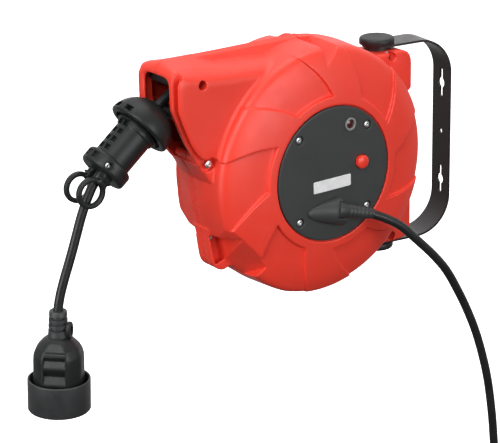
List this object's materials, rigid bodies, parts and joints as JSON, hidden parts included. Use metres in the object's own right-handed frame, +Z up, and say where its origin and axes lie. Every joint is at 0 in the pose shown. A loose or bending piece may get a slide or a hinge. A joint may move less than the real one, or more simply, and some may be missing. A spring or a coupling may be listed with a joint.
{
  "type": "extension cord reel",
  "caption": "Wall-mounted spring-return extension cord reel: red drum housing with a bladed face on a swivelling U-shaped strap, cable mouth with stopper and socket, feed cord with plug.",
  "frame": {"origin": "on the bracket's back face, midway between its two wall slots", "axes": "+X into the wall, +Z up; the spool's axis is near Y, turned 7 degrees about Z with the reel on its pivot"},
  "size_m": [0.5619, 0.1565, 0.701],
  "materials": {
    "strap_paint": "satin dark powder coat",
    "black_cap": "fine moulded grain",
    "steel": "zinc plated",
    "bush_plastic": "black nylon",
    "red_housing": "moulded, slightly satin",
    "cover_plastic": "charcoal, fine grain",
    "plate_metal": "brushed blank plate",
    "bezel_plastic": "satin grey",
    "lens_plastic": "dark red translucent",
    "button_plastic": "satin",
    "black_plastic": "moulded, satin",
    "cable_sheath": "smooth flexible sheath",
    "black_rubber": "moulded rubber",
    "brass": "plain",
    "spool_plastic": "moulded",
    "insulator": "moulded",
    "brush_carbon": "carbon",
    "spring_steel": "blued spring steel",
    "tie_fabric": "hook-and-loop strap"
  },
  "bodies": {
    "bracket": {"wall_bracket": "strap_paint", "upper_cap": "black_cap", "lower_cap": "black_cap", "upper_pivot_pin": "steel", "lower_pivot_pin": "steel"},
    "housing": {"upper_bush": "bush_plastic", "lower_bush": "bush_plastic", "front_shell": "red_housing", "rear_shell": "red_housing", "shell_screws": "steel", "side_cover": "cover_plastic", "cover_screws": "steel", "name_plate": "plate_metal", "indicator_bezel": "bezel_plastic", "indicator_lens": "lens_plastic", "breaker_body": "black_plastic", "cord_gland": "cover_plastic", "cord_relief": "black_rubber", "feed_cord": "cable_sheath", "feed_coil": "cable_sheath", "coil_tie": "tie_fabric", "feed_tail": "cable_sheath", "plug_body": "black_rubber", "plug_pins": "steel", "rear_cover": "cover_plastic", "rear_cover_screws": "steel", "axle": "steel", "brush_holder": "insulator", "brushes": "brush_carbon", "spring_arbor": "steel", "pawl_pin": "steel", "roller_pins": "steel", "front_stopper_half": "black_plastic", "rear_stopper_half": "black_plastic", "stopper_screws": "steel", "outlet_cable": "cable_sheath", "socket_boot": "black_rubber", "socket_body": "black_plastic", "socket_insert": "black_plastic", "socket_contacts": "brass", "earth_pin": "steel", "socket_collar": "black_rubber"},
    "spool": {"spool_hub": "spool_plastic", "spool_front_flange": "spool_plastic", "spool_rear_flange": "spool_plastic", "front_bush": "brass", "rear_bush": "brass", "wound_cable": "cable_sheath", "slip_ring_disc": "insulator", "slip_rings": "brass", "spring_case": "steel", "spring_lid": "steel", "power_spring": "spring_steel", "ratchet_ring": "spool_plastic"},
    "button": {"reset_button": "button_plastic"},
    "pawl": {"pawl": "steel"},
    "upper_roller": {"upper_roller": "black_plastic"},
    "lower_roller": {"lower_roller": "black_plastic"}
  },
  "joints": [
    {"name": "reel_swivel", "type": "hinge", "parent": "bracket", "child": "housing", "pos_m": [-0.082, 0, 0], "axis": [0, 0, 1], "range_deg": [-97, 83]},
    {"name": "spool_spin", "type": "hinge", "parent": "housing", "child": "spool", "pos_m": [-0.18324, -0.01243, 0.0035], "axis": [0.1219, -0.9925, 0], "continuous": true},
    {"name": "button_press", "type": "slide", "parent": "housing", "child": "button", "axis": [-0.1219, 0.9925, 0], "range_m": [0, 0.002], "stiffness_N_per_m": 800},
    {"name": "pawl_swing", "type": "hinge", "parent": "housing", "child": "pawl", "pos_m": [-0.17885, -0.04816, 0.0875], "axis": [0.1219, -0.9925, 0], "range_deg": [0, 18], "stiffness_Nm_per_rad": 0.02},
    {"name": "upper_roller_spin", "type": "hinge", "parent": "housing", "child": "upper_roller", "pos_m": [-0.33163, -0.03065, 0.114], "axis": [0.1219, -0.9925, 0], "continuous": true},
    {"name": "lower_roller_spin", "type": "hinge", "parent": "housing", "child": "lower_roller", "pos_m": [-0.33212, -0.03071, 0.082], "axis": [0.1219, -0.9925, 0], "continuous": true}
  ]
}
